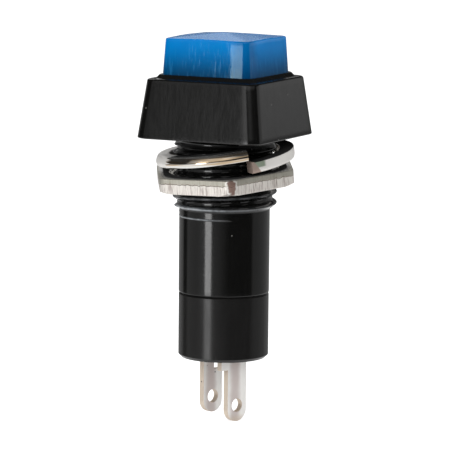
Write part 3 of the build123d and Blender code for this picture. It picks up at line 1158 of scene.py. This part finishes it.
    @staticmethod
    def round_left(theta: np.ndarray, end: float, full: float) -> np.ndarray:
        """Share of a mark that runs round the left of the barrel.

        Args:
            theta: angles round the axis.
            end: heading where the mark has faded out.
            full: heading from which it is whole, as far round as heading -160.

        Returns:
            1 where the mark is whole and 0 where there is none.
        """
        heading = (np.degrees(theta) + 180) % 360 - 180
        return smooth_step(-175, -160, heading) * smooth_step(end, full, heading)

    def build(self) -> bpy.types.Object:
        """Makes the moulding, which stands for the CAD housing.

        Returns:
            The piece.
        """
        theta = crowded_angles(self.columns, 4, 0.0)[None, :]
        half, corner, height = self.profile().T[:, :, None]
        bowed = bowed_radius(theta, half, corner, self.head_flat_share, self.head_bow)
        on_head = half > self.pocket + self.rim_wall + self.rim_slope + 0.1
        radius = np.where(on_head, bowed, facet_radius(theta, 4, half, corner, 0.0))
        outside = (height < -0.5 * self.neck_length) & (half > self.neck)
        radius = self.cut_thread(radius, theta, height, outside)
        on_barrel = (np.abs(half - self.barrel) < 0.001) & (height < -self.thread_end - self.end_fillet)
        radius = radius + np.where(on_barrel, self.mark_barrel(theta, height), 0.0)
        skin = Skin("housing_moulding", turned(radius, theta, height), wrap_rows=True,
                    values={"wear_and_sheen": self.scuffs_and_sheen(radius, theta, height)})
        return skin.stand_for("housing", Body.FIXED, BlackPlastic(scuffed_with_sheen=True))


@dataclass
class Cap:
    """Square cap: a shell with a low four-sided crown and a socket for the plunger."""

    columns: int = 288
    foot_half: float = 5.67
    top_half: float = 5.35
    corner: float = 1.05
    flat_share: float = 0.62
    bow: float = 5.0
    head_height: float = 6.7
    skirt_height: float = 5.2
    shoulder_height: float = 11.2
    shoulder_bulge: float = 0.07
    crown_height: float = 11.75
    crown_dip: float = 0.02
    crown_flat: float = 0.6
    crown_corner: float = 0.45
    wall: float = 0.95
    ceiling_height: float = 10.25
    socket_end: float = 8.15
    socket_outer: float = 2.3
    socket_inner: float = 1.3
    hub: float = 0.1

    def build(self) -> bpy.types.Object:
        """Makes the cap, which stands for the CAD cap.

        The middle of each side bulges at the shoulder, by bulge * cos(2 theta)^2 * s^2, where s is the
        smaller of the share of the half width and a smooth step from the ceiling up to the shoulder.

        Returns:
            The piece.
        """
        inside = self.foot_half - self.wall
        top_corner = self.corner - (self.foot_half - self.top_half)
        knots = [
            round_knot(self.crown_height - self.crown_dip, self.hub),
            Knot(self.crown_flat, self.crown_corner, self.crown_height - 2 * self.crown_dip, 0.3, 0.3),
            Knot(self.top_half, top_corner, self.shoulder_height, 0.2, 0.3),
            Knot(self.foot_half, self.corner, self.head_height, 0.0),
            Knot(self.foot_half, self.corner, self.skirt_height, 0.08),
            Knot(inside, self.corner / 2, self.skirt_height, 0.08),
            Knot(inside, self.corner / 2, self.ceiling_height, 0.1),
            round_knot(self.ceiling_height, self.socket_outer, 0.1),
            round_knot(self.socket_end, self.socket_outer, 0.1),
            round_knot(self.socket_end, self.socket_inner, 0.1),
            round_knot(self.ceiling_height, self.socket_inner),
            round_knot(self.ceiling_height, self.hub),
        ]
        theta = crowded_angles(self.columns, 4, 0.0)[None, :]
        half, corner, height = rounded_path(knots, closed=False).T[:, :, None]
        radius = bowed_radius(theta, half, corner, self.flat_share, self.bow)
        outside = np.arange(len(half))[:, None] < np.argmax(half)
        climb = smooth_step(self.ceiling_height, self.shoulder_height, height)
        share = np.minimum(half / self.top_half, climb)
        rise = self.shoulder_bulge * np.cos(2 * theta) ** 2 * share**2 * outside
        skin = Skin("cap_shell", turned(radius, theta, height + rise), wrap_rows=False)
        return skin.stand_for("button_cap", Body.BUTTON, BluePlastic())


@dataclass
class LockWasher:
    """Split washer of flat section, coiled on a helix and leaning on the bushing."""

    lean: Lean = Lean(depth=2.08, angle=7.8, heading=50.0, along=-41.65)
    spans: int = 420
    inner: float = 6.2
    width: float = 1.65
    thickness: float = 1.26
    rise: float = 1.5
    split_angle: float = 2.5
    crown: float = 0.36
    foot_crown: float = 0.1
    belly: float = -0.2
    edge: float = 0.17

    def section(self) -> np.ndarray:
        """Flat section with rounded edges.

        Returns:
            Rows of offsets outwards and upwards from its middle.
        """
        half, up = self.width / 2, self.thickness / 2
        corners = [(half, -up), (half, up), (-half, up), (-half, -up)]
        knots = [Knot(x, 0.0, z, self.edge, 0.1) for x, z in corners]
        return rounded_path(knots, closed=True)[:, [0, 2]]

    def build(self) -> bpy.types.Object:
        """Makes the ring, which stands for the CAD washer.

        A point at the share s of the ring has the angle s * turn and the height (s - 1/2) * rise, plus its
        place in the section. The outer wall draws in above its belly by crown * t^1.5 and below by
        foot_crown * t^2, where t runs from 0 to 1 at the edge, and the crown fades towards the low end.

        Returns:
            The piece.
        """
        share = np.linspace(0, 1, self.spans)[:, None]
        outwards, upwards = self.section().T[:, None, :]
        level = upwards / self.thickness * 2
        above = np.clip(level - self.belly, 0, 1 - self.belly) / (1 - self.belly)
        below = np.clip(self.belly - level, 0, 1 + self.belly) / (1 + self.belly)
        drawn_in = self.crown * smooth_step(0.2, 0.6, share) * above**1.5 + self.foot_crown * below**2
        radius = self.inner + self.width / 2 + outwards - drawn_in * (outwards > 0)
        turn = np.radians(360 - self.split_angle) * share
        points = self.lean.carry(turned(radius, turn, (share - 0.5) * self.rise + upwards))
        skin = Skin("washer_ring", points, wrap_rows=False,
                    values={"up": upwards / self.thickness + 0.5, "along": share})
        return skin.stand_for("lock_washer", Body.WASHER, WasherNickel())


@dataclass
class HexNut:
    """Thin stamped nut with rounded corners and a thread in its bore, leaning on the bushing."""

    lean: Lean = Lean(depth=4.46, angle=5.5, heading=73.0, along=-0.8)
    columns: int = 360
    apothem: float = 7.55
    thickness: float = 1.75
    corner: float = 1.0
    bore: float = 6.1
    seat_radius: float = 8.1
    seat_angle: float = 30.0
    bore_chamfer: float = 0.25
    groove_depth: float = 0.35
    pitch: float = 1.25
    bruised_corner: float = 302.0
    bruise_turn: float = 0.13

    def build(self) -> bpy.types.Object:
        """Makes the nut, which stands for the CAD nut.

        The hexagon's corners are cut back at the foot by a cone, r = seat + z / tan(seat angle), and the
        bore's wall is let out by depth * (1/2 - 1/2 cos(2 pi (z / pitch - turn))).

        Returns:
            The piece.
        """
        up = self.thickness / 2
        first_facet = np.pi / 6
        knots = [
            Knot(self.apothem, self.corner, -up, 0.09, 0.06),
            Knot(self.apothem, self.corner, up, 0.07),
            round_knot(up, self.bore + self.bore_chamfer, 0.05),
            round_knot(up - self.bore_chamfer, self.bore, 0.05, 0.08),
            round_knot(self.bore_chamfer - up, self.bore, 0.05),
            round_knot(-up, self.bore + self.bore_chamfer, 0.05),
        ]
        theta = crowded_angles(self.columns, 6, first_facet)[None, :]
        half, corner, height = rounded_path(knots, closed=True).T[:, :, None]
        radius = facet_radius(theta, 6, half, corner, first_facet)
        radius = np.minimum(radius, self.seat_radius + (height + up) / np.tan(np.radians(self.seat_angle)))
        groove = 0.5 - 0.5 * np.cos(FULL_TURN * (height / self.pitch - theta / FULL_TURN))
        inside = (half < self.bore + 0.02) & (np.abs(height) < up)
        radius = radius + np.where(inside, self.groove_depth * groove, 0.0)
        off_corner = np.abs((theta - np.radians(self.bruised_corner) + np.pi) % FULL_TURN - np.pi)
        values = {"up": height / self.thickness + 0.5, "wall": half > self.apothem - 0.15,
                  "around": theta * self.apothem, "corner": smooth_step(self.bruise_turn, 0.0, off_corner)}
        skin = Skin("nut_hex", self.lean.carry(turned(radius, theta, height)), wrap_rows=True, values=values)
        return skin.stand_for("hex_nut", Body.NUT, NutNickel())


@dataclass
class Coil:
    """Compression spring of round wire whose end turns lie flat."""

    name: str
    node: str
    body: Body
    joint: str
    travel: float
    held_high: bool
    radius: float
    wire: float
    turns: int = 5
    spans: int = 40
    sides: int = 12

    def build(self) -> bpy.types.Object:
        """Makes the spring, which stands for the CAD spring.

        The share s of the wire climbs by s^2 / (2 c) over the share c of the first turn, so the coil
        starts level, then in step with s, and it levels out over the last turn in the same way.

        Returns:
            The piece.
        """
        low, high = (corner[2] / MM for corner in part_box(self.node))
        share = np.linspace(0, 1, self.turns * self.spans + 1)[:, None]
        flat = 1 / self.turns
        low_end, high_end = np.minimum(share, flat), np.maximum(share - 1 + flat, 0)
        climb = low_end**2 / (2 * flat) + np.clip(share - flat, 0, 1 - 2 * flat)
        climb = climb + high_end - high_end**2 / (2 * flat)
        lap = FULL_TURN * np.arange(self.sides)[None, :] / self.sides
        middle = low + self.wire / 2 + (high - low - self.wire) * (climb / climb[-1])
        out, up = self.wire / 2 * np.cos(lap), self.wire / 2 * np.sin(lap)
        points = turned(self.radius + out, FULL_TURN * self.turns * share, middle + up)
        skin = Skin(self.name, points, wrap_rows=False, sharp_angle=60.0)
        piece = skin.stand_for(self.node, self.body, SPRING_WIRE)
        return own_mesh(piece)


@dataclass(frozen=True)
class InnerWorks:
    """CAD pieces that keep their own shape and get a finish."""

    finishes: tuple[tuple[Finish, tuple[str, ...]], ...] = (
        (BASE_PLASTIC, ("terminal_base",)),
        (WhitePlastic(), ("plunger",)),
        (TinnedBrass(), ("terminal_long", "terminal_short", "contact_bridge")),
        (CONTACT_SILVER, ("fixed_contact_long", "fixed_contact_short",
                          "moving_contact_long", "moving_contact_short")),
        (SPRING_WIRE, ("bridge_clip",)),
    )

    def dress(self) -> None:
        """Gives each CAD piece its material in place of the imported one."""
        for finish, names in self.finishes:
            material = finish.material()
            for name in names:
                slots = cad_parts[name].data.materials
                slots.clear()
                slots.append(material)


# ---------------------------------------------------------------- studio


@dataclass(frozen=True)
class Panel:
    """A soft light panel far away, as the gloss sees it: a window of headings and of elevations.

    It spans its half width on both sides of its heading, and elevations from low to high, all in degrees,
    and it fades over soft degrees at its sides and over soft_rise at its foot and top.
    """

    heading: float
    half_width: float
    low: float
    high: float
    strength: float
    soft: float
    soft_rise: float


@dataclass(frozen=True)
class Lamp:
    """A square soft lamp that faces the switch: its side is in metres and its power in watts."""

    name: str
    heading: float
    elevation: float
    side: float
    power: float


@dataclass
class Studio:
    """Camera, lamps, sky and floor."""

    axis_heading: float = 26.0
    distance: float = 400.0
    eye_height: float = 43.5
    aim_height: float = -10.28
    aim_aside: float = 0.18
    roll: float = 0.55
    scale: float = 8.82
    frame_size: int = 452
    sensor: float = 36.0
    floor_height: float = -32.4
    floor_reach_m: float = 4.0
    floor_glow: float = 0.5
    diffuse_level: float = 0.8
    gloss_level: float = 0.03
    lamp_distance_m: float = 0.6
    lamps: tuple[Lamp, ...] = (
        Lamp("key_lamp", -110.0, 25.0, 0.35, 2.0),
        Lamp("fill_lamp", 20.0, 30.0, 0.5, 1.2),
    )
    panels: tuple[Panel, ...] = (
        Panel(-105.3, 7.5, -8.0, -1.0, 5.9, 1.5, 8.0),
        Panel(-105.3, 7.5, 2.0, 20.0, 1.0, 1.5, 4.0),
        Panel(-95.0, 5.0, -16.0, 0.0, 0.35, 42.0, 4.0),
        Panel(-142.0, 29.0, -16.0, -4.0, 0.36, 4.0, 4.0),
        Panel(-121.0, 10.0, 6.0, 30.0, 0.25, 4.0, 4.0),
        Panel(-85.0, 8.0, 15.0, 36.0, 0.8, 40.0, 5.0),
        Panel(-40.0, 25.0, 18.0, 32.0, 0.4, 15.0, 4.0),
        Panel(59.0, 44.0, -16.0, -5.0, 0.28, 6.0, 5.0),
        Panel(56.0, 40.0, 1.0, 16.0, 0.3, 6.0, 3.0),
        Panel(40.0, 25.0, 1.0, 16.0, 0.22, 4.0, 3.0),
        Panel(150.0, 17.0, -16.0, 2.0, 0.32, 4.0, 5.0),
        Panel(116.0, 10.0, -20.0, 3.0, 0.3, 5.0, 2.5),
        Panel(121.0, 9.0, 14.5, 34.0, 1.1, 6.0, 2.5),
        Panel(0.0, 180.0, -90.0, -19.0, 0.9, 7.0, 7.0),
        Panel(0.0, 180.0, 45.0, 90.0, 0.05, 10.0, 10.0),
    )

    def camera(self) -> None:
        """Long lens at the distance, turned to look at the middle of the switch."""
        turn = np.radians(self.axis_heading)
        eye = Vector((np.sin(turn) * self.distance, -np.cos(turn) * self.distance, self.eye_height))
        aim = Vector((np.cos(turn) * self.aim_aside, np.sin(turn) * self.aim_aside, self.aim_height))
        lens = bpy.data.cameras.new("camera")
        lens.sensor_width = self.sensor
        lens.lens = self.scale * (aim - eye).length / self.frame_size * self.sensor
        lens.clip_end = 10
        item = add_object("camera", lens)
        look = (aim - eye).to_track_quat("-Z", "Y").to_matrix().to_4x4()
        tip = Matrix.Rotation(np.radians(self.roll), 4, "Z")
        item.matrix_world = Matrix.Translation(eye * MM) @ look @ tip
        bpy.context.scene.camera = item

    def sky(self) -> None:
        """Even light for rough surfaces, white where it is seen, and panels of light for gloss.

        Each panel is a product of soft windows over the heading atan2(aside, ahead), measured from the
        panel's own, and the elevation arcsin(z). The gloss sees the sum of the panels and a low level.
        """
        world = bpy.data.worlds.new("studio")
        bpy.context.scene.world = world
        world.use_nodes = True
        nodes = Graph(world.node_tree)
        x, y, z = nodes.split(nodes.add("ShaderNodeTexCoord").outputs["Generated"])
        degrees = 180 / np.pi
        elevation = nodes.product(nodes.math("ARCSINE", z), degrees)
        gloss = self.gloss_level
        for panel in self.panels:
            ahead, aside = nodes.towards(x, y, panel.heading), nodes.towards(x, y, panel.heading + 90)
            swing = nodes.product(nodes.math("ARCTAN2", aside, ahead), degrees)
            lit = nodes.product(nodes.window(swing, -panel.half_width, panel.half_width, panel.soft),
                                nodes.window(elevation, panel.low, panel.high, panel.soft_rise))
            gloss = nodes.total(nodes.product(lit, panel.strength), gloss)
        seen, shiny = nodes.rays()
        level = nodes.total(nodes.product(nodes.rest(shiny), self.diffuse_level), nodes.product(shiny, gloss))
        light = nodes.fill(nodes.add("ShaderNodeBackground"), Color=grey(1.0),
                           Strength=nodes.larger(level, seen))
        nodes.fill(nodes.add("ShaderNodeOutputWorld"), Surface=light.outputs[0])

    def hang(self, lamp: Lamp) -> None:
        """Hangs a lamp so that it faces the switch and leaves no mark in gloss.

        Args:
            lamp: the lamp.
        """
        data = bpy.data.lights.new(lamp.name, "AREA")
        data.size = lamp.side
        data.energy = lamp.power
        turn, lift = np.radians([lamp.heading, lamp.elevation])
        away = Vector((np.cos(turn) * np.cos(lift), np.sin(turn) * np.cos(lift), np.sin(lift)))
        place = away * self.lamp_distance_m + Vector((0, 0, self.aim_height * MM))
        item = add_object(lamp.name, data)
        item.matrix_world = Matrix.Translation(place) @ away.to_track_quat("Z", "Y").to_matrix().to_4x4()
        item.visible_glossy = False

    def floor(self) -> None:
        """Wide pale sheet under the terminals' tips, white where it is seen, that takes a soft shadow."""
        nodes = Surface("floor_paper")
        glow = nodes.product(nodes.larger(*nodes.rays()), self.floor_glow)
        nodes.set(Base_Color=grey(0.8), Roughness=0.9, Emission_Color=grey(1.0), Emission_Strength=glow)
        reach, height = self.floor_reach_m, self.floor_height * MM
        corners = [(-reach, -reach, height), (reach, -reach, height), (reach, reach, height),
                   (-reach, reach, height)]
        mesh = bpy.data.meshes.new("floor")
        mesh.from_pydata(corners, [], [(0, 1, 2, 3)])
        mesh.materials.append(nodes.material)
        item = add_object("floor", mesh)
        item.visible_glossy = False

    def build(self) -> None:
        """Sets the whole studio and the plain view transform."""
        bpy.context.scene.view_settings.view_transform = "Standard"
        self.camera()
        self.sky()
        self.floor()
        for lamp in self.lamps:
            self.hang(lamp)


def main() -> None:
    """Builds the studio and every piece."""
    logging.basicConfig(level=logging.INFO, format="%(message)s")
    Studio().build()
    return_coil = Coil("return_coil", "return_spring", Body.FIXED, "button_press", travel=3.0,
                       held_high=False, radius=3.25, wire=0.5)
    contact_coil = Coil("contact_coil", "contact_spring", Body.BUTTON, "bridge_float", travel=1.0,
                        held_high=True, radius=1.6, wire=0.3)
    for maker in (Housing(), Cap(), LockWasher(), HexNut(), return_coil, contact_coil):
        piece = maker.build()
        LOG.info("%s: %d faces", piece.name, len(piece.data.polygons))
    InnerWorks().dress()


if __name__ == "__main__":
    main()
